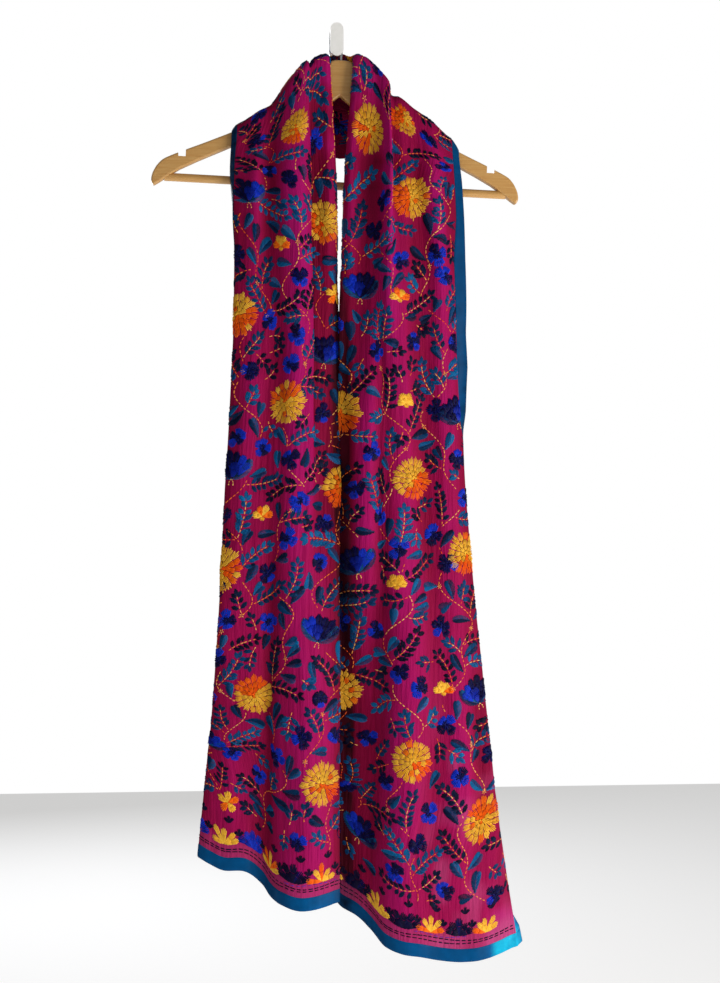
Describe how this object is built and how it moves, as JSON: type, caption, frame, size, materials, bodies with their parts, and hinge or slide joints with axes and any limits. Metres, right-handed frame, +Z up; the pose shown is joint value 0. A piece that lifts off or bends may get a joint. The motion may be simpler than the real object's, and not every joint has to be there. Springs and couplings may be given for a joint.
{
  "type": "embroidered phulkari shawl hung lengthwise folded on a wooden hanger with a wall peg",
  "caption": "Long crepe shawl with flower embroidery and satin edges, folded lengthwise and hung over a notched wooden hanger on a wall peg.",
  "frame": {"origin": "middle of the peg's back plate, on the wall", "axes": "+Z up, +X to the viewer's right, +Y into the wall, the shawl's front faces -Y"},
  "size_m": [0.4502, 0.0964, 1.1346],
  "materials": {
    "crepe": "crinkled silk crepe with satin stitch embroidery",
    "binding": "teal satin",
    "wood": "pale, clear lacquered",
    "steel": "bright wire",
    "enamel": "white enamel, satin"
  },
  "bodies": {
    "root": {"shawl_left_front": "crepe", "shawl_back": "crepe", "shawl_right_front": "crepe", "outer_binding_left_front": "binding", "outer_binding_back": "binding", "outer_binding_right_front": "binding", "far_binding_left_front": "binding", "far_binding_back": "binding", "far_binding_right_front": "binding", "hem_band_left": "binding", "hem_band_right": "binding", "hanger_frame": "wood", "trouser_bar": "wood", "wire_hook": "steel", "peg": "enamel"}
  },
  "joints": []
}
